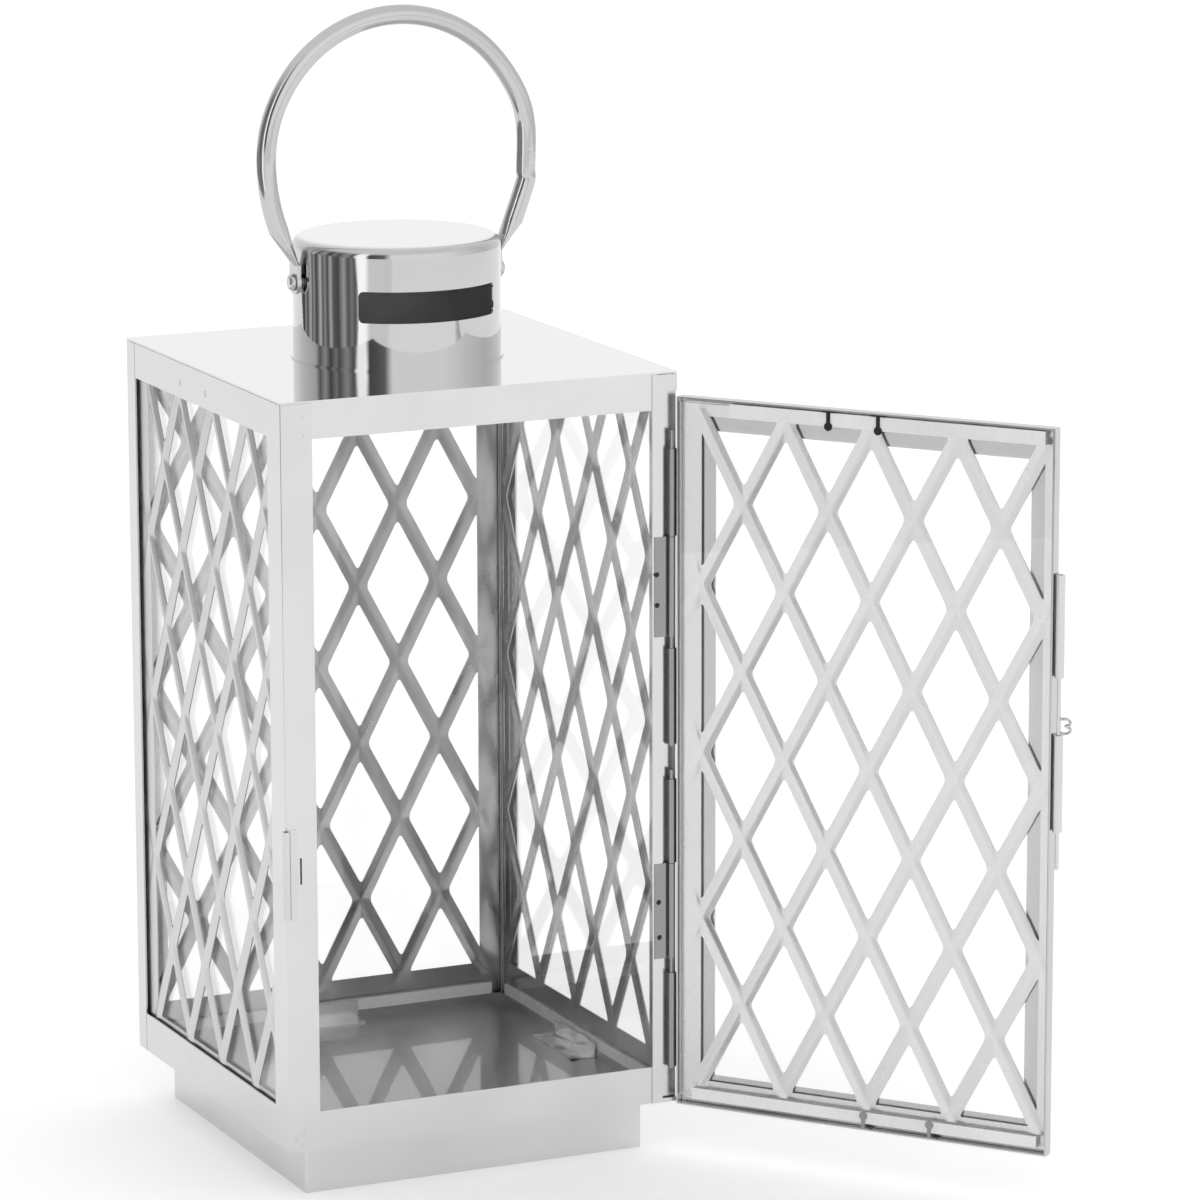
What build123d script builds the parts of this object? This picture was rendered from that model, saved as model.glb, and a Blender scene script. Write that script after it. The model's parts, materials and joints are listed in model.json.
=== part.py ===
"""Candle lantern: square sheet-metal body with lattice sides, glazed door and round vent cap.

Millimetres. Origin at the middle of the plinth's underside, +Z up, +X to the right along the
front and -Y towards the front, where the door is. Modelled with the door standing open.
"""
from build123d import *
import os
from math import cos, sin, radians

os.makedirs("parts", exist_ok=True)

# Body
HALF = 100.0            # half the body's outside width and depth
FOOT = 25.0             # underside of the body
TOP = 380.0             # upper face of the roof
SHEET = 0.8             # thickness of the folded sheets
SKIN = HALF - SHEET     # inside of the outer sheets
LINER = SKIN - SHEET    # inside of the lips that stand behind the outer sheets
STRIP = 17.0            # width of the upright strips at the corners
BAND_LOW = 44.0         # upper edge of the bottom band
BAND_HIGH = 362.0       # lower edge of the top band
WALL_TOP = TOP - 1.5 * SHEET
SEAM = 0.4              # gap where two sheets meet on one face

# Plinth
PLINTH_HALF = 87.0
PLINTH_LIP = 9.0

# Side lattices: raised ribs on a thin sheet
CELLS = 4
PITCH_U = 43.0
PITCH_V = 80.2
LATTICE_SHEET = 0.6
RIB_WIDTH = 7.8
RIB_RISE = 1.2
RIB_RUN_ON = 6.0        # how far the ribs' relief runs over the plain margin
LATTICE_Z = 206.7
LATTICE_IN = SKIN - RIB_RISE - LATTICE_SHEET

# Glazing
GLASS = 2.0
GLASS_IN = 94.4
CHANNEL_WALL = 0.9
CHANNEL_IN = 93.5
CHANNEL_TOP = 36.0

# Floor pan and its clips
PAN_HALF = 93.5
PAN_RIM = 30.5
CLIP_LENGTH = 46.0

# Cap
CAP_R = 49.5
CAP_TOP = 438.0
CAP_SHOULDER = 5.0
CAP_FOOT = 0.9          # height of the out-turned foot
SLOT_LOW = 402.5
SLOT_HIGH = 417.4
SLOT_HALF_ANGLE = 44.0
CHIMNEY_R = 40.0

# Handle
HANDLE_R = 4.75
PIVOT_Z = 418.0
TAB_X = 51.7
TAB_THICK = 1.8
TAB_WIDTH = 10.0
RIVET_R = 2.0

# Door, in its own frame: x from the hinge axis to the free edge, y outwards
HINGE_X = 96.5
HINGE_Y = -100.6
DOOR_TURN = -51.74      # direction of the open door from +X
DOOR_START = 2.65
DOOR_END = 194.0
DOOR_LOW = 24.5
DOOR_HIGH = 368.5
DOOR_BACK = 0.1
DOOR_FACE = 6.7

# Hinges and latch
BARREL_R = 1.75
PIN_R = 1.0
PIN_PLAY = 0.06
LEAF = 0.6
LATCH_U = 197.0
LATCH_OUT = 1.6
SLEEVE_R = 2.25
CATCH_R = 1.95

HINGE = (HINGE_X, HINGE_Y)
ALONG = Vector(cos(radians(DOOR_TURN)), sin(radians(DOOR_TURN)), 0)
OUTWARD = Vector(-sin(radians(DOOR_TURN)), cos(radians(DOOR_TURN)), 0)
DOOR = Plane(origin=(HINGE_X, HINGE_Y, 0), x_dir=ALONG, z_dir=(0, 0, 1))
RISING = (Align.CENTER, Align.CENTER, Align.MIN)


def slab(x, y, z, mode=Mode.ADD):
    """Box between three (low, high) pairs, in the axes of the part being built."""
    with Locations(((x[0] + x[1]) / 2, (y[0] + y[1]) / 2, (z[0] + z[1]) / 2)):
        Box(x[1] - x[0], y[1] - y[0], z[1] - z[0], mode=mode)


def post(centre, z, radius, mode=Mode.ADD):
    """Upright cylinder between a (low, high) pair."""
    with Locations((centre[0], centre[1], z[0])):
        Cylinder(radius, z[1] - z[0], align=RISING, mode=mode)


def round_fold(part, corner):
    """Round the outside of the upright fold nearest a corner of the body."""
    fold = part.edges().filter_by(Axis.Z).sort_by_distance((corner[0], corner[1], 200))[0]
    fillet(fold, SHEET * 0.85)


def dent(points, turn, radius=1.5, depth=0.25):
    """Shallow round weld marks, as discs sunk in a face that the turn makes them parallel to."""
    for point in points:
        with Locations(point):
            Cylinder(radius, 2 * depth, rotation=turn, mode=Mode.SUBTRACT)


# ---------------------------------------------------------------- base

with BuildPart() as plinth:
    slab((-PLINTH_HALF, PLINTH_HALF), (-PLINTH_HALF, PLINTH_HALF), (0, FOOT))
    fillet(plinth.edges().filter_by(Axis.Z), 1.5)
    inner = PLINTH_HALF - SHEET
    slab((-inner, inner), (-inner, inner), (SHEET, FOOT - SHEET), mode=Mode.SUBTRACT)
    inner = PLINTH_HALF - PLINTH_LIP
    slab((-inner, inner), (-inner, inner), (FOOT - 2 * SHEET, FOOT + 1), mode=Mode.SUBTRACT)

with BuildPart() as floor_tray:
    slab((-SKIN, SKIN), (-SKIN, SKIN), (FOOT, FOOT + SHEET))
    slab((-SKIN, 90), (-SKIN, -LINER), (FOOT, 43))
    slab((-SKIN, -LINER), (-SKIN, SKIN), (FOOT, 29))
    slab((LINER, SKIN), (-96.8, SKIN), (FOOT, 29))
    slab((-SKIN, SKIN), (LINER, SKIN), (FOOT, 29))

with BuildPart() as floor_pan:
    rim = PAN_HALF - SHEET
    slab((-PAN_HALF, PAN_HALF), (-PAN_HALF, PAN_HALF), (FOOT + SHEET, PAN_RIM))
    slab((-rim, rim), (-rim, rim), (FOOT + 2 * SHEET, PAN_RIM + 1), mode=Mode.SUBTRACT)


# ---------------------------------------------------------------- walls and roof

with BuildPart() as side_left:
    slab((-HALF, -SKIN), (-HALF, 89 - SEAM), (FOOT, WALL_TOP))
    slab((-HALF, -84.5), (-HALF, -SKIN), (FOOT, WALL_TOP))
    slab((-HALF - 1, -LINER), (STRIP - HALF, HALF), (BAND_LOW, BAND_HIGH), mode=Mode.SUBTRACT)
    round_fold(side_left, (-HALF, -HALF))
    dent([(x, -HALF, z) for x, z in
          ((-90, 373.5), (-90, 364.3), (-93.6, 35.5), (-97.4, 31.7), (-94.5, 28.3))], (90, 0, 0))
    dent([(-HALF, y, 369.4) for y in (-6, 27)], (0, 90, 0))

with BuildPart() as back_frame:
    slab((-HALF, 89 - SEAM), (SKIN, HALF), (FOOT, WALL_TOP))
    slab((-HALF, -SKIN), (89, HALF), (FOOT, WALL_TOP))
    slab((STRIP - HALF, HALF), (LINER, HALF + 1), (BAND_LOW, BAND_HIGH), mode=Mode.SUBTRACT)
    round_fold(back_frame, (-HALF, HALF))

# The front right corner is stepped back so that the hinge barrels stand in a recess.
STEP_X = 92.2
STEP_Y = -97.0
STEP_LOW = 27.0
STEP_HIGH = 371.0
with BuildPart() as side_right:
    slab((SKIN, HALF), (-HALF, HALF), (FOOT, WALL_TOP))
    slab((87, HALF), (-HALF, -SKIN), (FOOT, WALL_TOP))
    slab((89, HALF), (SKIN, HALF), (FOOT, WALL_TOP))
    round_fold(side_right, (HALF, -HALF))
    round_fold(side_right, (HALF, HALF))
    slab((SKIN - 1, HALF + 1), (STRIP - HALF, HALF - STRIP), (BAND_LOW, BAND_HIGH), mode=Mode.SUBTRACT)
    slab((STEP_X, HALF + 1), (-HALF - 1, STEP_Y), (STEP_LOW, STEP_HIGH), mode=Mode.SUBTRACT)
    slab((STEP_X - SHEET, STEP_X), (-HALF, STEP_Y), (STEP_LOW, STEP_HIGH))
    slab((STEP_X - SHEET, HALF), (STEP_Y - SHEET, STEP_Y), (STEP_LOW, STEP_HIGH))

with BuildPart() as roof:
    slab((-HALF, HALF), (-HALF, HALF), (TOP - SHEET, TOP))
    slab((-SKIN, 90), (-SKIN, -LINER), (BAND_HIGH, TOP - SHEET))
    slab((-SKIN, -LINER), (-SKIN, SKIN), (376, TOP - SHEET))
    slab((LINER, SKIN), (-96.8, SKIN), (376, TOP - SHEET))
    slab((-SKIN, SKIN), (LINER, SKIN), (376, TOP - SHEET))
    post((0, 0), (TOP - 2, TOP + 1), CHIMNEY_R, mode=Mode.SUBTRACT)


# ---------------------------------------------------------------- lattices

def rib_sections(face, pitch_u, pitch_v):
    """Planes across every diagonal rib at its lower end, looking along the rib."""
    half_v = CELLS * pitch_v / 2 + RIB_RUN_ON + 3
    slope = pitch_v / pitch_u
    planes = []
    for lean in (1, -1):
        along = (face.x_dir * lean + face.y_dir * slope).normalized()
        for k in range(1 - CELLS, CELLS):
            u = k * pitch_u - lean * half_v / slope
            start = face.origin + face.x_dir * u - face.y_dir * half_v
            planes.append(Plane(origin=start, x_dir=face.z_dir.cross(along), z_dir=along))
    length = 2 * half_v * (1 + 1 / slope ** 2) ** 0.5
    return planes, length


def ribs(face, pitch_u, pitch_v, outline, across):
    """All ribs of one section, cut off where their relief ends on the margin."""
    planes, length = rib_sections(face, pitch_u, pitch_v)
    low = max(-CELLS * pitch_u / 2 - RIB_RUN_ON, across[0])
    high = min(CELLS * pitch_u / 2 + RIB_RUN_ON, across[1])
    tall = CELLS * pitch_v + 2 * RIB_RUN_ON
    with BuildPart() as bars:
        with BuildSketch(*planes):
            with BuildLine():
                Polyline(*outline, close=True)
            make_face()
        extrude(amount=length)
        with BuildSketch(face.offset(-5)):
            with Locations(((low + high) / 2, 0)):
                Rectangle(high - low, tall)
        extrude(amount=10, mode=Mode.INTERSECT)
    return bars.part


def lattice(face, pitch_u, pitch_v, across, upright):
    """Pressed lattice on a face plane centred on the pattern, with plain margins."""
    half = RIB_WIDTH / 2
    top = LATTICE_SHEET + RIB_RISE
    hollow_half = half - 0.5
    outer = ((-half, 0), (half, 0), (half, LATTICE_SHEET), (0.5, top), (-0.5, top), (-half, LATTICE_SHEET))
    hollow = ((-hollow_half, -0.1), (hollow_half, -0.1), (0, RIB_RISE))
    with BuildPart() as sheet:
        with BuildSketch(face):
            with Locations(((across[0] + across[1]) / 2, (upright[0] + upright[1]) / 2)):
                Rectangle(across[1] - across[0], upright[1] - upright[0])
            Rectangle(CELLS * pitch_u, CELLS * pitch_v, mode=Mode.SUBTRACT)
        extrude(amount=LATTICE_SHEET)
        add(ribs(face, pitch_u, pitch_v, outer, across))
        add(ribs(face, pitch_u, pitch_v, hollow, across), mode=Mode.SUBTRACT)
    return sheet


LOW = 29 - LATTICE_Z
HIGH = 375 - LATTICE_Z
left_face = Plane(origin=(-LATTICE_IN, -9, LATTICE_Z), x_dir=(0, -1, 0), z_dir=(-1, 0, 0))
lattice_left = lattice(left_face, PITCH_U, PITCH_V, (-97.3 - 9, 98.2 - 9), (LOW, HIGH))

right_face = Plane(origin=(LATTICE_IN, 9, LATTICE_Z), x_dir=(0, 1, 0), z_dir=(1, 0, 0))
lattice_right = lattice(right_face, PITCH_U, PITCH_V, (-96.8 - 9, 97.3 - 9), (LOW, HIGH))

back_face = Plane(origin=(-3, LATTICE_IN, LATTICE_Z), x_dir=(-1, 0, 0), z_dir=(0, 1, 0))
lattice_back = lattice(back_face, PITCH_U, PITCH_V, (-97.3 - 3, 97.3 - 3), (LOW, HIGH))


# ---------------------------------------------------------------- fixed glazing

PANE_LOW = FOOT + SHEET + CHANNEL_WALL + 0.1
PANE_HIGH = 371.0
PANE = (GLASS_IN, GLASS_IN + GLASS)
CHANNEL = (CHANNEL_IN, GLASS_IN + GLASS + CHANNEL_WALL)
SLOT = (GLASS_IN - 0.05, GLASS_IN + GLASS + 0.05)
CHANNEL_SPAN = (FOOT + SHEET, CHANNEL_TOP)
SLOT_SPAN = (PANE_LOW - 0.1, CHANNEL_TOP + 1)


def mirrored(pair):
    """The same limits on the other side of zero."""
    return (-pair[1], -pair[0])


with BuildPart() as glass_left:
    slab(mirrored(PANE), (-96, 94.2), (PANE_LOW, PANE_HIGH))

with BuildPart() as glass_right:
    slab(PANE, (-96, 94.2), (PANE_LOW, PANE_HIGH))

with BuildPart() as glass_back:
    slab((-94.2, 94.2), PANE, (PANE_LOW, PANE_HIGH))

with BuildPart() as channel_left:
    slab(mirrored(CHANNEL), (-90, 90), CHANNEL_SPAN)
    slab(mirrored(SLOT), (-91, 91), SLOT_SPAN, mode=Mode.SUBTRACT)

with BuildPart() as channel_right:
    slab(CHANNEL, (-90, 90), CHANNEL_SPAN)
    slab(SLOT, (-91, 91), SLOT_SPAN, mode=Mode.SUBTRACT)

with BuildPart() as channel_back:
    slab((-88, 88), CHANNEL, CHANNEL_SPAN)
    slab((-89, 89), SLOT, SLOT_SPAN, mode=Mode.SUBTRACT)

CLIP_FOOT = (FOOT + 2 * SHEET, FOOT + 3 * SHEET)
CLIP_TAB = (PAN_HALF - 2 * SHEET - 0.1, PAN_HALF - SHEET - 0.1)
with BuildPart() as clip_back:
    slab((-32, CLIP_LENGTH - 32), (81.5, CLIP_TAB[1]), CLIP_FOOT)
    slab((-32, CLIP_LENGTH - 32), CLIP_TAB, (CLIP_FOOT[0], 36))

with BuildPart() as clip_right:
    slab((80, CLIP_TAB[1]), (-22, CLIP_LENGTH - 22), CLIP_FOOT)
    slab(CLIP_TAB, (-22, CLIP_LENGTH - 22), (CLIP_FOOT[0], 34))

with BuildPart() as clip_left:
    slab((-CLIP_TAB[1], -80), (-24, CLIP_LENGTH - 24), CLIP_FOOT)
    slab(mirrored(CLIP_TAB), (-24, CLIP_LENGTH - 24), (CLIP_FOOT[0], 34))


# ---------------------------------------------------------------- cap

def vent(facing):
    """Round-cornered slot through the cap's wall, centred on one direction."""
    first = radians(facing - SLOT_HALF_ANGLE)
    last = radians(facing + SLOT_HALF_ANGLE)
    near, far = CAP_R - 5, CAP_R + 5
    middle = radians(facing)
    with BuildPart(mode=Mode.PRIVATE) as cutter:
        with BuildSketch(Plane.XY.offset(SLOT_LOW)):
            with BuildLine():
                Polyline((near * cos(first), near * sin(first)), (far * cos(first), far * sin(first)))
                ThreePointArc((far * cos(first), far * sin(first)), (far * cos(middle), far * sin(middle)),
                              (far * cos(last), far * sin(last)))
                Polyline((far * cos(last), far * sin(last)), (near * cos(last), near * sin(last)))
                ThreePointArc((near * cos(last), near * sin(last)), (near * cos(middle), near * sin(middle)),
                              (near * cos(first), near * sin(first)))
            make_face()
        extrude(amount=SLOT_HIGH - SLOT_LOW)
        fillet(cutter.edges().filter_by(GeomType.LINE).filter_by(Axis.Z, reverse=True), 2.5)
    return cutter.part


with BuildPart() as cap_shell:
    with BuildSketch(Plane.XZ):
        with BuildLine():
            inside = CAP_R - SHEET
            shoulder = CAP_R - CAP_SHOULDER
            Polyline((0, CAP_TOP - SHEET), (0, CAP_TOP), (shoulder, CAP_TOP))
            RadiusArc((shoulder, CAP_TOP), (CAP_R, CAP_TOP - CAP_SHOULDER), CAP_SHOULDER)
            Polyline((CAP_R, CAP_TOP - CAP_SHOULDER), (CAP_R, TOP + CAP_FOOT), (CAP_R + 1.2, TOP + CAP_FOOT),
                     (CAP_R + 1.2, TOP), (inside, TOP), (inside, CAP_TOP - CAP_SHOULDER))
            RadiusArc((inside, CAP_TOP - CAP_SHOULDER), (shoulder, CAP_TOP - SHEET), SHEET - CAP_SHOULDER)
            Line((shoulder, CAP_TOP - SHEET), (0, CAP_TOP - SHEET))
        make_face()
    revolve(axis=Axis.Z)
    add(vent(270), mode=Mode.SUBTRACT)
    add(vent(90), mode=Mode.SUBTRACT)
    with Locations((0, 0, PIVOT_Z)):
        Cylinder(RIVET_R + 0.02, 2 * CAP_R + 5, rotation=(0, 90, 0), mode=Mode.SUBTRACT)


# ---------------------------------------------------------------- handle

ARCH_X, ARCH_Z, ARCH_R = 1.3, 474.5, 67.0       # centre and radius of the round of the handle
NECK_LEFT, NECK_RIGHT = (-59.7, 442.8), (60.6, 440.6)
ROUND = [(ARCH_X + ARCH_R * cos(radians(turn)), ARCH_Z + ARCH_R * sin(radians(turn)))
         for turn in range(190, -11, -20)]      # from the left, over the top, to the right
ARCH = [NECK_LEFT, *ROUND, NECK_RIGHT]
NECK_TILT = 20.5        # lean of the tube where it starts to flatten
HOLE_R = RIVET_R + PIN_PLAY


def flattened_end(side, neck):
    """Tab with its pivot hole and the neck that widens into the round tube."""
    lean = radians(NECK_TILT)
    tube = Plane(origin=(neck[0], 0, neck[1]), x_dir=(0, 1, 0), z_dir=(side * sin(lean), 0, cos(lean)))
    flat = Plane(origin=(side * TAB_X, 0, PIVOT_Z + 8), x_dir=(0, 1, 0), z_dir=(0, 0, 1))
    with BuildPart(mode=Mode.PRIVATE) as end:
        with BuildSketch(flat):
            Ellipse(TAB_WIDTH / 2, TAB_THICK / 2 + 0.3)
        with BuildSketch(tube):
            Circle(HANDLE_R)
        loft()
        with BuildSketch(Plane(origin=(side * TAB_X - TAB_THICK / 2, 0, PIVOT_Z), x_dir=(0, 1, 0),
                               z_dir=(1, 0, 0))):
            Circle(TAB_WIDTH / 2 + 0.6)
            with Locations((0, 4.1)):
                Rectangle(TAB_WIDTH, 8.6)
            Circle(HOLE_R, mode=Mode.SUBTRACT)
        extrude(amount=TAB_THICK)
    return end.part


with BuildPart() as handle_bail:
    with BuildLine():
        rise = (-sin(radians(NECK_TILT)), 0, cos(radians(NECK_TILT)))
        fall = (-sin(radians(NECK_TILT)), 0, -cos(radians(NECK_TILT)))
        Spline(*[(x, 0, z) for x, z in ARCH], tangents=(rise, fall))
    with BuildSketch(Plane(origin=(ARCH[0][0], 0, ARCH[0][1]), x_dir=(0, 1, 0), z_dir=rise)):
        Circle(HANDLE_R)
    sweep()
    add(flattened_end(-1, ARCH[0]))
    add(flattened_end(1, ARCH[-1]))


def handle_rivet(side):
    """Rivet along X: head outside the handle's tab, collar, and head inside the cap."""
    axis = Plane(origin=(0, 0, PIVOT_Z), x_dir=(0, 1, 0), z_dir=(side, 0, 0))
    with BuildPart(mode=Mode.PRIVATE) as rivet:
        for start, end, radius in ((47.2, 48.4, 3.2), (48.3, 53, RIVET_R), (49.55, 50.6, 3.2)):
            with BuildSketch(axis.offset(start)):
                Circle(radius)
            extrude(amount=end - start)
        with BuildSketch(axis.offset(TAB_X + TAB_THICK / 2 + 0.2)):
            Circle(4)
        extrude(amount=2.4, taper=0)
        fillet(rivet.faces().filter_by(Axis.X).sort_by(SortBy.DISTANCE)[-1].edges(), 1.9)
    return rivet.part


with BuildPart() as handle_rivets:
    add(handle_rivet(-1))
    add(handle_rivet(1))


# ---------------------------------------------------------------- hinges on the body

UPPER_FRAME = (253.6, 301.5)
LOWER_FRAME = (96.7, 143.2)
UPPER_DOOR = ((201.2, 247.8), (301.8, 343.6))
LOWER_DOOR = ((42.7, 89.4), (143.5, 184.3))


def frame_leaf(z):
    """Leaf on the corner strip, stepped into the recess and rolled into its barrel."""
    front = HINGE_Y
    back = HINGE_Y + BARREL_R
    slab((88, STEP_X + 0.1 + LEAF), (front, front + LEAF), z)
    slab((STEP_X + 0.1, STEP_X + 0.1 + LEAF), (front, back), z)
    slab((STEP_X + 0.1, HINGE_X), (back - LEAF, back), z)
    post(HINGE, z, BARREL_R)
    post(HINGE, z, PIN_R + 0.01, mode=Mode.SUBTRACT)


with BuildPart() as hinge_leaf_upper:
    frame_leaf(UPPER_FRAME)

with BuildPart() as hinge_leaf_lower:
    frame_leaf(LOWER_FRAME)

with BuildPart() as hinge_pin_upper:
    post(HINGE, (200.4, 352.5), PIN_R)

with BuildPart() as hinge_pin_lower:
    post(HINGE, (42, 189), PIN_R)

with BuildPart() as hinge_rivets:
    for x, z in ((88.9, 283.7), (89.1, 269.0), (89.9, 124.5), (90.3, 107.2)):
        with BuildSketch(Plane(origin=(x, HINGE_Y, z), x_dir=(1, 0, 0), z_dir=(0, -1, 0))):
            Circle(1.25)
        extrude(amount=0.5, taper=35)


# ---------------------------------------------------------------- door

def facing_door(u, out, z):
    """Plane parallel to the door with its z axis outwards and its y axis up."""
    origin = DOOR.from_local_coords(Vector(u, out, z))
    return Plane(origin=origin, x_dir=ALONG * -1, z_dir=OUTWARD)


with BuildPart(DOOR) as door_frame:
    slab((DOOR_START, DOOR_END), (DOOR_BACK, DOOR_FACE), (DOOR_LOW, DOOR_HIGH))
    fillet(door_frame.faces().sort_by(Axis(origin=(0, 0, 0), direction=OUTWARD))[-1].edges(), 0.7)
    slab((DOOR_START + SHEET, DOOR_END - SHEET), (DOOR_BACK - 1, DOOR_FACE - SHEET),
         (DOOR_LOW + SHEET, DOOR_HIGH - SHEET), mode=Mode.SUBTRACT)
    slab((20.5, 180.6), (0, DOOR_FACE + 1), (39.7, 352.6), mode=Mode.SUBTRACT)

DOOR_MID_U = 101.0
DOOR_MID_Z = 198.3
door_face = facing_door(DOOR_MID_U, DOOR_FACE - SHEET - RIB_RISE - LATTICE_SHEET, DOOR_MID_Z)
door_lattice = lattice(door_face, 43.5, 80.7, (DOOR_MID_U - DOOR_END + SHEET + 0.2, DOOR_MID_U - 3.6),
                       (DOOR_LOW + SHEET + 0.2 - DOOR_MID_Z, DOOR_HIGH - SHEET - 0.2 - DOOR_MID_Z))

DOOR_PANE = (1.1, 3.1)
DOOR_SLOT = (1.05, 3.15)
DOOR_CHANNEL = (0.2, 4.0)
with BuildPart(DOOR) as door_glass:
    slab((4.2, DOOR_END - 1.4), DOOR_PANE, (29, 365.9))

with BuildPart(DOOR) as door_channel_bottom:
    slab((11, 189), DOOR_CHANNEL, (28, 33.5))
    slab((10, 190), DOOR_SLOT, (28.9, 34), mode=Mode.SUBTRACT)

with BuildPart(DOOR) as door_channel_top:
    slab((30, 189), DOOR_CHANNEL, (360.3, 366.9))
    slab((29, 190), DOOR_SLOT, (360, 366.0), mode=Mode.SUBTRACT)


def door_clip(u, flange, tip):
    """Sheet tongue from a flange over the channel, with a narrow neck and a round end."""
    reach = -1 if tip < flange else 1
    inner = DOOR_CHANNEL[0] - 0.05 - CLIP_SHEET
    foot = sorted((flange + reach * 0.05, flange + reach * (0.05 + CLIP_SHEET)))
    neck = sorted((foot[0], tip - reach * TONGUE_R))
    slab((u - 3.5, u + 3.5), (inner, 3.0), foot)
    slab((u - 0.9, u + 0.9), (inner, inner + CLIP_SHEET), neck)
    with BuildSketch(facing_door(u, inner, tip - reach * TONGUE_R)) as end:
        Circle(TONGUE_R)
    extrude(end.sketch, amount=CLIP_SHEET)


CLIP_SHEET = 0.5
TONGUE_R = 2.0
with BuildPart(DOOR) as door_clips_top:
    door_clip(80.7, DOOR_HIGH - SHEET, 358.4)
    door_clip(105.9, DOOR_HIGH - SHEET, 358.4)

with BuildPart(DOOR) as door_clips_bottom:
    door_clip(101.0, DOOR_LOW + SHEET, 33.8)
    door_clip(135.0, DOOR_LOW + SHEET, 33.8)


def door_leaf(spans):
    """Strip on the tray's hinge flange with a rolled knuckle at each span."""
    low, high = spans[0][0], spans[-1][1]
    near = DOOR_START - LEAF
    slab((near, DOOR_START), (BARREL_R - LEAF, 5.6), (low, high))
    for span in spans:
        slab((0, DOOR_START), (BARREL_R - LEAF, BARREL_R), span)
        post((0, 0), span, BARREL_R)
        post((0, 0), span, PIN_R + PIN_PLAY, mode=Mode.SUBTRACT)


with BuildPart(DOOR) as door_knuckles_upper:
    door_leaf(UPPER_DOOR)

with BuildPart(DOOR) as door_knuckles_lower:
    door_leaf(LOWER_DOOR)


# ---------------------------------------------------------------- latch

SLEEVES = ((180.3, 226), (253, 301))


def sleeve(span):
    """Tube for the latch pin, rolled from a leaf on the tray's free flange."""
    crest = LATCH_OUT + SLEEVE_R
    slab((DOOR_END, DOOR_END + LEAF), (crest - LEAF, DOOR_FACE - 0.5), span)
    slab((DOOR_END, LATCH_U), (crest - LEAF, crest), span)
    post((LATCH_U, LATCH_OUT), span, SLEEVE_R)
    post((LATCH_U, LATCH_OUT), span, PIN_R + PIN_PLAY, mode=Mode.SUBTRACT)


with BuildPart(DOOR) as latch_sleeve_lower:
    sleeve(SLEEVES[0])

with BuildPart(DOOR) as latch_sleeve_upper:
    sleeve(SLEEVES[1])

PULL = [(LATCH_U, 227.3), (201.4, 227.2), (203.0, 228.8), (201.6, 230.2), (200.6, 230.6), (201.6, 231.0),
        (203.0, 232.4), (201.4, 233.8), (LATCH_U, 233.7)]
with BuildPart() as latch_pin:
    with BuildPart(DOOR, mode=Mode.PRIVATE) as shank:
        post((LATCH_U, LATCH_OUT), (162.5, 292), PIN_R)
    add(shank.part)
    path = [DOOR.from_local_coords(Vector(u, LATCH_OUT, z)) for u, z in PULL]
    with BuildLine():
        Spline(*path, tangents=(ALONG, ALONG * -1))
    with BuildSketch(Plane(origin=path[0], z_dir=ALONG)):
        Circle(0.75)
    sweep()

CATCH = (HINGE_X - LATCH_U, HINGE_Y - LATCH_OUT)
CATCH_SPAN = (138, 180)
with BuildPart() as catch_barrel:
    slab((CATCH[0], -94.5), (-HALF - LEAF, -HALF), CATCH_SPAN)
    post(CATCH, CATCH_SPAN, CATCH_R)
    post(CATCH, CATCH_SPAN, PIN_R + PIN_PLAY, mode=Mode.SUBTRACT)

with BuildPart() as catch_staple:
    with BuildLine():
        FilletPolyline((-92.6, -HALF, 166), (-92.6, -HALF - 0.45, 166), (-92.6, -HALF - 0.45, 153.7),
                       (-92.6, -HALF, 153.7), radius=0.3)
    with BuildSketch(Plane(origin=(-92.6, -HALF, 166), z_dir=(0, -1, 0))):
        Circle(0.25)
    sweep()


# ---------------------------------------------------------------- files

PIECES = {
    "plinth": plinth,
    "floor_tray": floor_tray,
    "floor_pan": floor_pan,
    "side_left": side_left,
    "side_right": side_right,
    "back_frame": back_frame,
    "roof": roof,
    "lattice_left": lattice_left,
    "lattice_right": lattice_right,
    "lattice_back": lattice_back,
    "glass_left": glass_left,
    "glass_right": glass_right,
    "glass_back": glass_back,
    "channel_left": channel_left,
    "channel_right": channel_right,
    "channel_back": channel_back,
    "clip_back": clip_back,
    "clip_right": clip_right,
    "clip_left": clip_left,
    "cap_shell": cap_shell,
    "handle_bail": handle_bail,
    "handle_rivets": handle_rivets,
    "hinge_leaf_upper": hinge_leaf_upper,
    "hinge_leaf_lower": hinge_leaf_lower,
    "hinge_pin_upper": hinge_pin_upper,
    "hinge_pin_lower": hinge_pin_lower,
    "hinge_rivets": hinge_rivets,
    "door_frame": door_frame,
    "door_lattice": door_lattice,
    "door_glass": door_glass,
    "door_channel_top": door_channel_top,
    "door_channel_bottom": door_channel_bottom,
    "door_clips_top": door_clips_top,
    "door_clips_bottom": door_clips_bottom,
    "door_knuckles_upper": door_knuckles_upper,
    "door_knuckles_lower": door_knuckles_lower,
    "latch_sleeve_lower": latch_sleeve_lower,
    "latch_sleeve_upper": latch_sleeve_upper,
    "latch_pin": latch_pin,
    "catch_barrel": catch_barrel,
    "catch_staple": catch_staple,
}
for name, piece in PIECES.items():
    piece.part.label = name
    export_step(piece.part, f"parts/{name}.step")
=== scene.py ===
"""Candle lantern: the looks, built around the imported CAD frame.

Metres, in the CAD frame: +Z up, +X to the right along the front, -Y towards the front.
"""
import json
import math

import bmesh
import bpy
from mathutils import Matrix, Vector, noise


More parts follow.
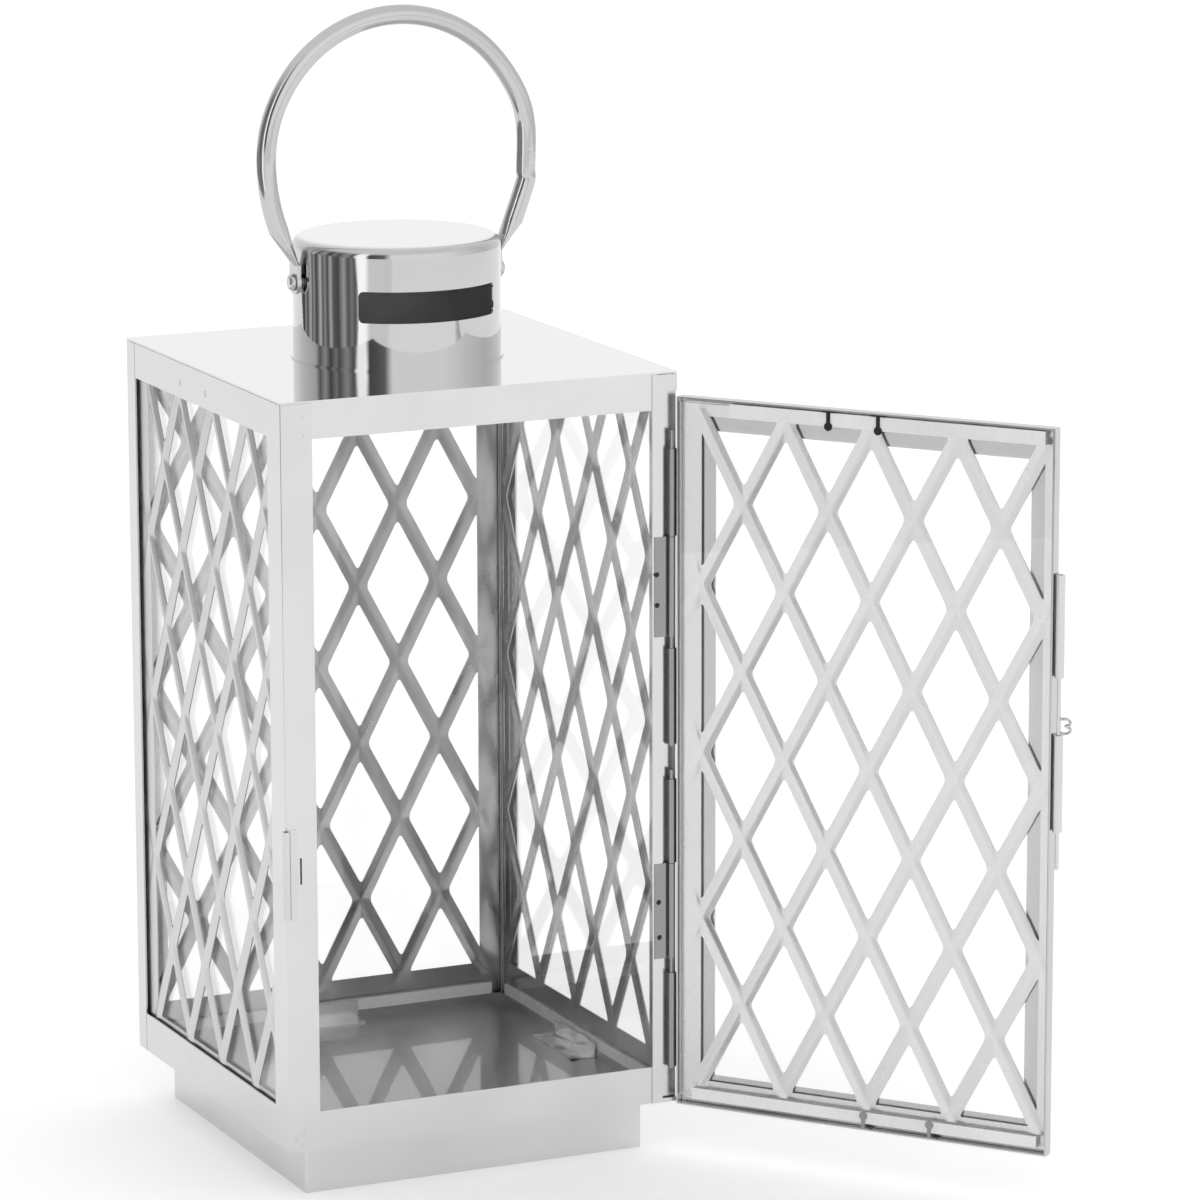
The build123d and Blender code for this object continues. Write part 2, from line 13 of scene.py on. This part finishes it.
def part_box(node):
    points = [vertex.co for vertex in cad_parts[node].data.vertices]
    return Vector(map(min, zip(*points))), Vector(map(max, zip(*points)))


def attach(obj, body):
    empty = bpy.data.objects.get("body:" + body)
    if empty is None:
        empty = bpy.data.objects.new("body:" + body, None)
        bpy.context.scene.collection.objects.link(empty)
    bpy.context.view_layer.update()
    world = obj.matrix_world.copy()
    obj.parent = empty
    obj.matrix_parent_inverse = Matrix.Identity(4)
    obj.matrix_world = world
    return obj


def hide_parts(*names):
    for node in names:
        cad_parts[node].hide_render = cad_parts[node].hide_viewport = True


MM = 0.001
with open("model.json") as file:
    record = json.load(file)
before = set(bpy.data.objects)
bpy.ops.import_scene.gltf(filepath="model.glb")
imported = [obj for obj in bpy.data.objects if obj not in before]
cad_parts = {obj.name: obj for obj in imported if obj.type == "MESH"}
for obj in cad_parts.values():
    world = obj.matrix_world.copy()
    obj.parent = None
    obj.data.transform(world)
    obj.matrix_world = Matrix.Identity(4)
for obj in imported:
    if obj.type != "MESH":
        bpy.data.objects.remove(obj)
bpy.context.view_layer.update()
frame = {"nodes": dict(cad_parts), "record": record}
NODES = frame["nodes"]
SCENE = bpy.context.scene


# ------------------------------------------------------------------ camera

AZIMUTH = math.radians(-24.758)
ELEVATION = math.radians(12.036)
ROLL = math.radians(-0.12)
back = Vector((math.sin(AZIMUTH) * math.cos(ELEVATION), -math.cos(AZIMUTH) * math.cos(ELEVATION),
               math.sin(ELEVATION)))
right = Vector((math.cos(AZIMUTH), math.sin(AZIMUTH), 0))
turn = Matrix((right, back.cross(right), back)).transposed().to_4x4() @ Matrix.Rotation(ROLL, 4, "Z")
camera = bpy.data.objects.new("camera", bpy.data.cameras.new("camera"))
camera.matrix_world = Matrix.Translation((-1.09115, -2.59556, 0.86013)) @ turn
camera.data.lens = 180
camera.data.sensor_width = 36
camera.data.clip_start = 0.05
camera.data.clip_end = 50
SCENE.collection.objects.link(camera)
SCENE.camera = camera


# ------------------------------------------------------------------ materials

def new_material(name):
    """A node material and its Principled shader."""
    material = bpy.data.materials.new(name)
    material.use_nodes = True
    return material, material.node_tree.nodes["Principled BSDF"]


def add_node(material, kind, **values):
    """A node with input sockets or properties set by name."""
    node = material.node_tree.nodes.new(kind)
    for key, value in values.items():
        if key in node.inputs:
            node.inputs[key].default_value = value
        else:
            setattr(node, key, value)
    return node


def link(material, source, target):
    material.node_tree.links.new(source, target)


def coordinates(material, stretch=(1, 1, 1)):
    """Object coordinates, stretched so that a noise can run along one direction."""
    place = add_node(material, "ShaderNodeTexCoord")
    mapping = add_node(material, "ShaderNodeMapping", Scale=stretch)
    link(material, place.outputs["Object"], mapping.inputs["Vector"])
    return mapping.outputs["Vector"]


def ramp(material, source, low, high, target, start=0.35, end=0.65):
    """Maps a noise to a range of values on a socket."""
    spread = add_node(material, "ShaderNodeMapRange")
    for key, value in (("From Min", start), ("From Max", end), ("To Min", low), ("To Max", high)):
        spread.inputs[key].default_value = value
    link(material, source, spread.inputs["Value"])
    link(material, spread.outputs["Result"], target)


def tint(material, source, dark, light, target):
    """Mixes two colours by a noise."""
    mix = add_node(material, "ShaderNodeValToRGB")
    mix.color_ramp.elements[0].position = 0.35
    mix.color_ramp.elements[1].position = 0.65
    mix.color_ramp.elements[0].color = (*dark, 1)
    mix.color_ramp.elements[1].color = (*light, 1)
    link(material, source, mix.inputs["Fac"])
    link(material, mix.outputs["Color"], target)


def steel(name, tone=0.80, rough=(0.10, 0.20), wave=(9.0, 0.0004), grain=(1, 1, 1), grain_depth=0.000004):
    """Polished stainless: cloudy gloss, gentle waves of the sheet and a fine polishing grain."""
    material, shader = new_material(name)
    shader.inputs["Metallic"].default_value = 1.0
    cloud = add_node(material, "ShaderNodeTexNoise", Scale=14.0, Detail=5.0, Roughness=0.6)
    link(material, coordinates(material), cloud.inputs["Vector"])
    tint(material, cloud.outputs["Fac"], [tone * k for k in (0.95, 0.955, 0.96)],
         [min(1, tone * k) for k in (1.03, 1.03, 1.03)], shader.inputs["Base Color"])
    ramp(material, cloud.outputs["Fac"], rough[0], rough[1], shader.inputs["Roughness"])
    ripple = add_node(material, "ShaderNodeTexNoise", Scale=wave[0], Detail=2.0)
    link(material, coordinates(material), ripple.inputs["Vector"])
    fine = add_node(material, "ShaderNodeTexNoise", Scale=900.0, Detail=3.0)
    link(material, coordinates(material, grain), fine.inputs["Vector"])
    broad_bump = add_node(material, "ShaderNodeBump", Strength=1.0, Distance=wave[1])
    link(material, ripple.outputs["Fac"], broad_bump.inputs["Height"])
    fine_bump = add_node(material, "ShaderNodeBump", Strength=1.0, Distance=grain_depth)
    link(material, fine.outputs["Fac"], fine_bump.inputs["Height"])
    link(material, broad_bump.outputs["Normal"], fine_bump.inputs["Normal"])
    link(material, fine_bump.outputs["Normal"], shader.inputs["Normal"])
    return material


def clear_glass(name="clear_glass", facing=(0, 1, 0)):
    """Clear float glass with a trace of surface unevenness and whitish ground edges."""
    material, shader = new_material(name)
    shader.inputs["IOR"].default_value = 1.5
    smear = add_node(material, "ShaderNodeTexNoise", Scale=6.0, Detail=4.0)
    link(material, coordinates(material), smear.inputs["Vector"])
    place = add_node(material, "ShaderNodeTexCoord")
    across = add_node(material, "ShaderNodeVectorMath", operation="DOT_PRODUCT")
    across.inputs[1].default_value = facing
    link(material, place.outputs["Normal"], across.inputs[0])
    size = add_node(material, "ShaderNodeMath", operation="ABSOLUTE")
    link(material, across.outputs["Value"], size.inputs[0])
    clear = add_node(material, "ShaderNodeMath", operation="GREATER_THAN")
    clear.inputs[1].default_value = 0.5
    link(material, size.outputs["Value"], clear.inputs[0])
    link(material, clear.outputs["Value"], shader.inputs["Transmission Weight"])
    ramp(material, smear.outputs["Fac"], 0.0, 0.003, shader.inputs["Roughness"])
    tint(material, smear.outputs["Fac"], (0.97, 0.975, 0.973), (0.99, 0.99, 0.99), shader.inputs["Base Color"])
    return material


def plain(name, dark, light, rough, depth, scale=400.0):
    """Non-metal with slight colour variation and a fine surface."""
    material, shader = new_material(name)
    grain = add_node(material, "ShaderNodeTexNoise", Scale=scale, Detail=4.0)
    link(material, coordinates(material), grain.inputs["Vector"])
    cloud = add_node(material, "ShaderNodeTexNoise", Scale=20.0, Detail=3.0)
    link(material, coordinates(material), cloud.inputs["Vector"])
    tint(material, cloud.outputs["Fac"], dark, light, shader.inputs["Base Color"])
    ramp(material, grain.outputs["Fac"], rough[0], rough[1], shader.inputs["Roughness"])
    bump = add_node(material, "ShaderNodeBump", Strength=1.0, Distance=depth)
    link(material, grain.outputs["Fac"], bump.inputs["Height"])
    link(material, bump.outputs["Normal"], shader.inputs["Normal"])
    return material


def painted_top_light(material, colour, tone):
    """A painted highlight: the level faces of a piece in a lighter tone than its sides, standing in for the brighter
    light they catch from above.
    """
    facing = add_node(material, "ShaderNodeTexCoord")
    upward = add_node(material, "ShaderNodeSeparateXYZ")
    link(material, facing.outputs["Normal"], upward.inputs["Vector"])
    level = add_node(material, "ShaderNodeMapRange")
    level.inputs["From Min"].default_value = 0.75
    level.inputs["From Max"].default_value = 0.98
    link(material, upward.outputs["Z"], level.inputs["Value"])
    top = add_node(material, "ShaderNodeMix", data_type="RGBA")
    top.inputs["B"].default_value = (tone, tone, tone, 1)
    link(material, level.outputs["Result"], top.inputs["Factor"])
    link(material, colour, top.inputs["A"])
    return top.outputs["Result"]


def roof_steel():
    """Sheet of the roof, polished enough to mirror the cap that stands on it."""
    material = steel("roof_steel", 0.67, (0.04, 0.09), wave=(7.0, 0.0002))
    shader = material.node_tree.nodes["Principled BSDF"]
    # Painted highlight: the roof's level faces lightened to stand in for the light they catch from above.
    colour = painted_top_light(material, shader.inputs["Base Color"].links[0].from_socket, 0.80)
    link(material, colour, shader.inputs["Base Color"])
    return material


def cap_steel():
    """Mirror polish outside with a fine grain; inside the shell, rougher metal under a painted shade in a dark tone.
    """
    material = steel("cap_steel", 0.56, (0.02, 0.05), wave=(14.0, 0.0003))
    shader = material.node_tree.nodes["Principled BSDF"]
    outside = shader.inputs["Base Color"].links[0].from_socket
    gloss = shader.inputs["Roughness"].links[0].from_socket
    split = add_node(material, "ShaderNodeSeparateXYZ")
    link(material, coordinates(material), split.inputs["Vector"])
    flat = add_node(material, "ShaderNodeCombineXYZ")
    link(material, split.outputs["X"], flat.inputs["X"])
    link(material, split.outputs["Y"], flat.inputs["Y"])
    radius = add_node(material, "ShaderNodeVectorMath", operation="LENGTH")
    link(material, flat.outputs["Vector"], radius.inputs[0])
    near = add_node(material, "ShaderNodeMath", operation="LESS_THAN")
    near.inputs[1].default_value = CAP_INSIDE_R
    link(material, radius.outputs["Value"], near.inputs[0])
    below = add_node(material, "ShaderNodeMath", operation="LESS_THAN")
    below.inputs[1].default_value = CAP_INSIDE_Z
    link(material, split.outputs["Z"], below.inputs[0])
    inside = add_node(material, "ShaderNodeMath", operation="MULTIPLY")
    link(material, near.outputs["Value"], inside.inputs[0])
    link(material, below.outputs["Value"], inside.inputs[1])
    # Painted shade inside the cap shell: a dark, slightly varied tone where the shell's hollow lies in shade.
    shade_noise = add_node(material, "ShaderNodeTexNoise", Scale=60.0, Detail=4.0)
    link(material, coordinates(material), shade_noise.inputs["Vector"])
    painted_shade = add_node(material, "ShaderNodeValToRGB")
    painted_shade.color_ramp.elements[0].color = (0.24, 0.24, 0.245, 1)
    painted_shade.color_ramp.elements[1].color = (0.32, 0.32, 0.32, 1)
    link(material, shade_noise.outputs["Fac"], painted_shade.inputs["Fac"])
    # Painted highlight on the cap's level top; the painted shade inside the shell is mixed over it.
    lid_painted_light = painted_top_light(material, outside, 0.80)
    colour = add_node(material, "ShaderNodeMix", data_type="RGBA")
    link(material, inside.outputs["Value"], colour.inputs["Factor"])
    link(material, lid_painted_light, colour.inputs["A"])
    link(material, painted_shade.outputs["Color"], colour.inputs["B"])
    link(material, colour.outputs["Result"], shader.inputs["Base Color"])
    rough = add_node(material, "ShaderNodeMix", data_type="FLOAT")
    rough.inputs["B"].default_value = 0.75
    link(material, inside.outputs["Value"], rough.inputs["Factor"])
    link(material, gloss, rough.inputs["A"])
    link(material, rough.outputs["Result"], shader.inputs["Roughness"])
    return material


def pan_steel():
    """Duller sheet of the floor, under a thin clear gloss that mirrors the lattice behind it."""
    material = steel("pan_steel", 0.36, (0.30, 0.40))
    shader = material.node_tree.nodes["Principled BSDF"]
    shader.inputs["Coat Weight"].default_value = 0.8
    shader.inputs["Coat Roughness"].default_value = 0.03
    return material


# Bounds of the painted shade inside the cap shell.
CAP_INSIDE_R = 48.8 * MM
CAP_INSIDE_Z = 432.9 * MM
BODY = steel("body_steel", 0.67, (0.16, 0.26))
ROOF = roof_steel()
PAN = pan_steel()
LATTICE = steel("lattice_steel", 0.66, (0.30, 0.40), wave=(9.0, 0.0002))
# Inner faces of the lattice sheets: one steel in painted light and shade, darker on the left and back, darker still
# on the right, lighter on the door's inside where the light falls.
LATTICE_INNER_SHADED = steel("lattice_inner_shaded_steel", 0.46, (0.26, 0.36), wave=(9.0, 0.0002))
RIGHT_INNER_SHADED = steel("right_inner_shaded_steel", 0.38, (0.26, 0.36), wave=(9.0, 0.0002))
DOOR_INNER_LIT = steel("door_inner_lit_steel", 0.76, (0.20, 0.30), wave=(9.0, 0.0002))
DOOR = steel("door_steel", 0.56, (0.16, 0.26))
# Painted shade: the hinge pieces in a dark tone for the shade of the hinge recess; the bottom door clips share this
# tone.
HINGES_SHADED = steel("hinge_shaded_steel", 0.30, (0.08, 0.16))
DARK_CLIP = steel("dark_clip_steel", 0.04, (0.25, 0.40))
CAP = cap_steel()
HANDLE = steel("handle_steel", 0.56, (0.06, 0.12), wave=(30.0, 0.0004))
FITTING = steel("fitting_steel", 0.64, (0.14, 0.24))
GLASS = clear_glass()
CHANNEL = plain("pale_channel", (0.80, 0.80, 0.80), (0.88, 0.88, 0.88), (0.25, 0.4), 0.00001)
WIRE = plain("dark_wire", (0.015, 0.015, 0.015), (0.03, 0.03, 0.03), (0.3, 0.5), 0.00001)
SLOTS = {"body_steel": BODY, "lattice_steel": LATTICE, "cap_steel": CAP, "handle_steel": HANDLE,
         "fitting_steel": FITTING, "clear_glass": GLASS, "pale_channel": CHANNEL, "dark_wire": WIRE}

SPECIAL = {"floor_pan": PAN, "roof": ROOF, "door_frame": DOOR, "door_clips_top": DARK_CLIP, "hinge_rivets": DARK_CLIP,
           "door_clips_bottom": HINGES_SHADED}
for node in ("door_knuckles_upper", "door_knuckles_lower", "hinge_leaf_upper", "hinge_leaf_lower",
             "hinge_pin_upper", "hinge_pin_lower"):
    SPECIAL[node] = HINGES_SHADED
for node, facing in (("glass_left", (1, 0, 0)), ("glass_right", (1, 0, 0)), ("glass_back", (0, 1, 0)),
                     ("door_glass", (0.785, 0.619, 0))):
    SPECIAL[node] = clear_glass(node, facing)

for part in frame["record"]["subparts"]:
    mesh = NODES[part["node"]].data
    mesh.materials.clear()
    mesh.materials.append(SPECIAL.get(part["node"], SLOTS[part["material_slot"]]))


# ------------------------------------------------------------------ pressed lattices

SHEET = 0.6             # thickness of the lattice sheets
RIB_HALF = 3.9
RISE = 0.9
CELLS = 4
FADE = 6.0              # how far the relief runs out on the margin
CORNER = 2.2            # run of the small fillets where two ribs meet
ACROSS_RIB = (-1, -0.75, -0.5, -0.25, 0, 0.25, 0.5, 0.75, 1)


def rib_height(distance, half):
    """Rounded ridge of one rib."""
    x = abs(distance) / half
    if x >= 1:
        return 0.0
    low = math.sqrt(1.04) - 0.2
    return RISE * (1 - (math.sqrt(x * x + 0.04) - 0.2) / low)


def pressed_lattice(name, body, origin, along, outward, pitch, across, upright, inner):
    """Diagonal grid of hollow ribs with filleted crossings on a thin sheet with plain margins."""
    pitch_u, pitch_v = pitch
    slope = pitch_v / pitch_u
    half = RIB_HALF * math.sqrt(1 + slope * slope) / slope
    window = (CELLS * pitch_u / 2, CELLS * pitch_v / 2)
    lines = []
    for k in range(-5, 6):
        ribs = [k * pitch_u + half * x for x in ACROSS_RIB]
        lines += [(value, k, "rib") for value in ribs]
        lines += [(ribs[0] - CORNER, k, "low"), (ribs[-1] + CORNER, k, "high")]
    lines.sort()
    bm = bmesh.new()
    solid = bm.faces.layers.int.new("solid")
    points = {}

    def point(a, b):
        key = (round(a, 5), round(b, 5))
        if key not in points:
            points[key] = bm.verts.new(((a + b) / 2, slope * (b - a) / 2, 0))
        return points[key]

    def stretch(i):
        """What lies between two neighbouring lines: a rib, a corner's run or open cell."""
        first, second = lines[i], lines[i + 1]
        if first[1] == second[1] and first[2] == "rib" and second[2] == "rib":
            return "rib" if abs(first[1]) < CELLS else "cell"
        if first[2] == "low" or second[2] == "high":
            k = first[1]
            return ("before" if first[2] == "low" else "after") if abs(k) < CELLS else "cell"
        return "cell"

    kinds = [stretch(i) for i in range(len(lines) - 1)]
    reach_u = max(abs(across[0]), abs(across[1])) + 1
    reach_v = max(abs(upright[0]), abs(upright[1])) + 1
    for i, kind_a in enumerate(kinds):
        a0, a1 = lines[i][0], lines[i + 1][0]
        for j, kind_b in enumerate(kinds):
            b0, b1 = lines[j][0], lines[j + 1][0]
            middle = (a0 + a1 + b0 + b1) / 4, slope * (b0 + b1 - a0 - a1) / 4
            span = (a1 - a0 + b1 - b0) / 2
            if abs(middle[0]) > reach_u + span or abs(middle[1]) > reach_v + slope * span:
                continue
            if kind_a in ("before", "after") and kind_b in ("before", "after"):
                corner_a = a0 if kind_a == "after" else a1
                corner_b = b0 if kind_b == "after" else b1
                far_a = a1 if kind_a == "after" else a0
                far_b = b1 if kind_b == "after" else b0
                arc = []
                for step in (0, 1, 2, 3, 4):
                    t = step / 4
                    arc.append(point(corner_a + (far_a - corner_a) * (1 - t) ** 2,
                                     corner_b + (far_b - corner_b) * t ** 2))
                corner = point(corner_a, corner_b)
                far = point(far_a, far_b)
                for loop, mark in (([corner] + arc, 1), ([far] + arc[::-1], 0)):
                    if (kind_a == "after") != (kind_b == "after"):
                        loop = loop[::-1]
                    bm.faces.new(loop)[solid] = mark
                continue
            face = bm.faces.new((point(a0, b0), point(a1, b0), point(a1, b1), point(a0, b1)))
            face[solid] = 1 if "rib" in (kind_a, kind_b) else 0

    def cut(axis, value, clear=False):
        normal = [0, 0, 0]
        normal[axis] = 1 if value > 0 else -1
        place = [0, 0, 0]
        place[axis] = value
        bmesh.ops.bisect_plane(bm, geom=bm.verts[:] + bm.edges[:] + bm.faces[:], dist=1e-4,
                               plane_co=place, plane_no=normal, clear_outer=clear)

    for side in (-1, 1):
        for axis, edge in ((0, window[0]), (1, window[1])):
            for step in (0, FADE / 2, FADE):
                cut(axis, side * (edge + step))
    for axis, limits in ((0, across), (1, upright)):
        for limit in limits:
            cut(axis, limit, clear=True)

    def open_cell(face):
        middle = face.calc_center_median()
        return not face[solid] and abs(middle.x) < window[0] and abs(middle.y) < window[1]

    bmesh.ops.delete(bm, geom=[face for face in bm.faces if open_cell(face)], context="FACES")
    bm.faces.ensure_lookup_table()
    outside = 0.0
    for vertex in bm.verts:
        u, v = vertex.co.x, vertex.co.y
        heights = []
        for value in (u - v / slope, u + v / slope):
            k = max(1 - CELLS, min(CELLS - 1, round(value / pitch_u)))
            heights.append(rib_height(value - k * pitch_u, half))
        height = min(RISE, (heights[0] ** 6 + heights[1] ** 6) ** (1 / 6))
        outside = max(0.0, abs(u) - window[0], abs(v) - window[1])
        vertex.co.z = SHEET + height * max(0.0, 1 - outside / FADE) ** 0.8
    to_world = Matrix((along, Vector((0, 0, 1)), outward)).transposed().to_4x4()
    to_world.translation = origin
    bmesh.ops.transform(bm, matrix=Matrix.Scale(MM, 4) @ to_world, verts=bm.verts)
    bmesh.ops.dissolve_degenerate(bm, dist=1e-7, edges=bm.edges[:])
    return finished(name, bm, body, [name.replace("pressed_", "")], [LATTICE, inner],
                    [("SOLIDIFY", {"thickness": SHEET * MM, "offset": -1.0, "material_offset": 1})])


def finished(name, bm, body, nodes, materials, modifiers=(), sharp=40):
    """Turns a bmesh into a piece: modifiers applied, smooth with crisp edges, riding on its body."""
    mesh = bpy.data.meshes.new(name)
    bm.to_mesh(mesh)
    bm.free()
    for material in materials:
        mesh.materials.append(material)
    piece = bpy.data.objects.new(name, mesh)
    SCENE.collection.objects.link(piece)
    for kind, values in modifiers:
        modifier = piece.modifiers.new(kind.lower(), kind)
        for key, value in values.items():
            setattr(modifier, key, value)
    if modifiers:
        baked = bpy.data.meshes.new_from_object(piece.evaluated_get(bpy.context.evaluated_depsgraph_get()))
        piece.modifiers.clear()
        piece.data = baked
        baked.name = name
    piece.data.polygons.foreach_set("use_smooth", [True] * len(piece.data.polygons))
    piece.data.set_sharp_from_angle(angle=math.radians(sharp))
    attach(piece, body)
    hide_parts(*nodes)
    return piece


DOOR_ANGLE = math.radians(-51.74)
DOOR_ALONG = Vector((math.cos(DOOR_ANGLE), math.sin(DOOR_ANGLE), 0))
DOOR_OUT = Vector((-math.sin(DOOR_ANGLE), math.cos(DOOR_ANGLE), 0))
HINGE = Vector((96.5, -100.6, 0))
RISE_FROM, RISE_TO = 29 - 206.7, 375 - 206.7
X, Y = Vector((1, 0, 0)), Vector((0, 1, 0))
pressed_lattice("pressed_lattice_left", "lantern", Vector((-97.4, -9, 206.7)), -Y, -X, (43, 80.2),
                (-106.3, 89.2), (RISE_FROM, RISE_TO), LATTICE_INNER_SHADED)
pressed_lattice("pressed_lattice_right", "lantern", Vector((97.4, 9, 206.7)), Y, X, (43, 80.2),
                (-105.8, 88.3), (RISE_FROM, RISE_TO), RIGHT_INNER_SHADED)
pressed_lattice("pressed_lattice_back", "lantern", Vector((-3, 97.4, 206.7)), -X, Y, (43, 80.2),
                (-100.3, 94.3), (RISE_FROM, RISE_TO), LATTICE_INNER_SHADED)
pressed_lattice("pressed_door_lattice", "door", HINGE + DOOR_ALONG * 101 + DOOR_OUT * 4.1 + Vector((0, 0, 198.3)),
                -DOOR_ALONG, DOOR_OUT, (43.5, 80.7), (-92, 97.4), (-172.8, 169.2), DOOR_INNER_LIT)


# ------------------------------------------------------------------ rumpled small pieces

def rumpled(node, slices, amount, scale, directions):
    """A CAD piece cut into short lengths and bent out of true by a smooth noise."""
    bm = bmesh.new()
    bm.from_mesh(NODES[node].data)
    low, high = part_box(node)
    bmesh.ops.dissolve_limit(bm, angle_limit=0.02, verts=bm.verts[:], edges=bm.edges[:])
    for axis, count in enumerate(slices):
        normal = [0, 0, 0]
        normal[axis] = 1
        for i in range(1, count):
            place = [0, 0, 0]
            place[axis] = low[axis] + (high[axis] - low[axis]) * i / count
            bmesh.ops.bisect_plane(bm, geom=bm.verts[:] + bm.edges[:] + bm.faces[:], dist=1e-7,
                                   plane_co=place, plane_no=normal)
    for vertex in bm.verts:
        shift = noise.noise_vector(vertex.co * scale) * amount
        vertex.co += Vector([shift[i] * directions[i] for i in range(3)])
    bmesh.ops.triangulate(bm, faces=bm.faces[:])
    material = NODES[node].data.materials[0]
    body = "lantern"
    return finished("rumpled_" + node, bm, body, [node], [material], sharp=30)


rumpled("channel_back", (30, 1, 1), 0.0008, 14.0, (0, 0, 1))
rumpled("channel_right", (1, 30, 1), 0.0007, 30.0, (0, 0, 1))
rumpled("channel_left", (1, 30, 1), 0.0005, 18.0, (0, 0, 1))
rumpled("clip_right", (8, 14, 4), 0.0016, 90.0, (0.6, 0.6, 1))
rumpled("clip_left", (8, 12, 2), 0.0004, 50.0, (0.3, 0.3, 1))
rumpled("clip_back", (12, 8, 2), 0.0004, 50.0, (0.3, 0.3, 1))


# ------------------------------------------------------------------ studio

def world_light():
    """White studio with darker flags on the left and behind the camera, for contrast in the polish.

    What the camera sees directly, or through the glass, is plain white.
    """
    world = bpy.data.worlds.new("studio")
    world.use_nodes = True
    SCENE.world = world
    place = add_node(world, "ShaderNodeTexCoord")
    split = add_node(world, "ShaderNodeSeparateXYZ")
    link(world, place.outputs["Generated"], split.inputs["Vector"])
    angle = add_node(world, "ShaderNodeMath", operation="ARCTAN2")
    link(world, split.outputs["Y"], angle.inputs[0])
    link(world, split.outputs["X"], angle.inputs[1])
    turn = add_node(world, "ShaderNodeMapRange")
    turn.inputs["From Min"].default_value = -math.pi
    turn.inputs["From Max"].default_value = math.pi
    link(world, angle.outputs["Value"], turn.inputs["Value"])

    def band(stops, source):
        ramp_node = add_node(world, "ShaderNodeValToRGB")
        marks = ramp_node.color_ramp
        while len(marks.elements) < len(stops):
            marks.elements.new(0.5)
        for mark, (position, level) in zip(marks.elements, stops):
            mark.position = position
            mark.color = (level, level, level, 1)
        link(world, source, ramp_node.inputs["Fac"])
        return ramp_node.outputs["Color"]

    def turned(degrees):
        """Position on the ramp of a compass angle, counter-clockwise from +X."""
        return ((degrees + 180) % 360) / 360

    def ring(levels):
        return band(sorted((turned(degrees), level) for degrees, level in levels), turn.outputs["Result"])

    low = ring(((0, 0.80), (60, 1.0), (112, 1.0), (119, 0.90), (121, 0.15), (124, 0.05), (127, 0.50), (130, 0.08),
                (134, 0.35), (137, 0.70), (140, 0.10), (143, 0.45), (147, 0.05), (151, 0.30), (154, 0.75),
                (157, 0.12), (161, 0.40), (165, 0.06), (169, 0.60), (173, 0.15), (179.9, 0.10), (180, 0.10),
                (187, 0.50), (192, 0.12), (197, 0.30), (200, 0.10), (203, 1.6), (213, 1.6), (217, 0.95), (300, 0.90)))
    high = ring(((0, 0.78), (30, 0.92), (55, 1.0), (104, 1.0), (120, 0.85), (145, 0.65), (152, 0.15), (160, 0.45),
                 (168, 0.08), (176, 0.30), (179.9, 0.12), (180, 0.12), (190, 0.40), (199, 0.10), (203, 1.6),
                 (213, 1.6), (216, 0.10), (226, 0.14), (234, 0.20), (242, 1.15), (300, 1.15), (330, 0.95)))
    above = add_node(world, "ShaderNodeMapRange")
    above.inputs["From Min"].default_value = -0.06
    above.inputs["From Max"].default_value = 0.0
    link(world, split.outputs["Z"], above.inputs["Value"])
    around_mix = add_node(world, "ShaderNodeMix", data_type="RGBA")
    link(world, above.outputs["Result"], around_mix.inputs["Factor"])
    link(world, low, around_mix.inputs["A"])
    link(world, high, around_mix.inputs["B"])
    around = around_mix.outputs["Result"]
    overhead = add_node(world, "ShaderNodeMapRange")
    overhead.inputs["From Min"].default_value = 0.45
    overhead.inputs["From Max"].default_value = 0.75
    link(world, split.outputs["Z"], overhead.inputs["Value"])
    ceiling = add_node(world, "ShaderNodeMix", data_type="RGBA")
    ceiling.inputs["B"].default_value = (0.92, 0.92, 0.92, 1)
    link(world, overhead.outputs["Result"], ceiling.inputs["Factor"])
    link(world, around, ceiling.inputs["A"])
    path = add_node(world, "ShaderNodeLightPath")
    direct = add_node(world, "ShaderNodeMath", operation="MAXIMUM")
    link(world, path.outputs["Is Camera Ray"], direct.inputs[0])
    link(world, path.outputs["Is Transmission Ray"], direct.inputs[1])
    seen = add_node(world, "ShaderNodeMix", data_type="RGBA")
    seen.inputs["B"].default_value = (1, 1, 1, 1)
    link(world, direct.outputs["Value"], seen.inputs["Factor"])
    link(world, ceiling.outputs["Result"], seen.inputs["A"])
    link(world, seen.outputs["Result"], world.node_tree.nodes["Background"].inputs["Color"])


world_light()
SCENE.view_settings.view_transform = "Standard"

FLOOR = ((-1.3, -3.2), (3.0, 6.0))
floor_mesh = bpy.data.meshes.new("floor")
floor_mesh.from_pydata([(FLOOR[0][0], FLOOR[0][1], 0), (FLOOR[1][0], FLOOR[0][1], 0),
                        (FLOOR[1][0], FLOOR[1][1], 0), (FLOOR[0][0], FLOOR[1][1], 0)], [], [(0, 1, 2, 3)])
white = plain("floor", (0.95, 0.95, 0.95), (0.97, 0.97, 0.97), (0.6, 0.7), 0.0)
white.node_tree.nodes["Principled BSDF"].inputs["Emission Color"].default_value = (1, 1, 1, 1)
white.node_tree.nodes["Principled BSDF"].inputs["Emission Strength"].default_value = 0.25
floor_mesh.materials.append(white)
floor = bpy.data.objects.new("floor", floor_mesh)
SCENE.collection.objects.link(floor)
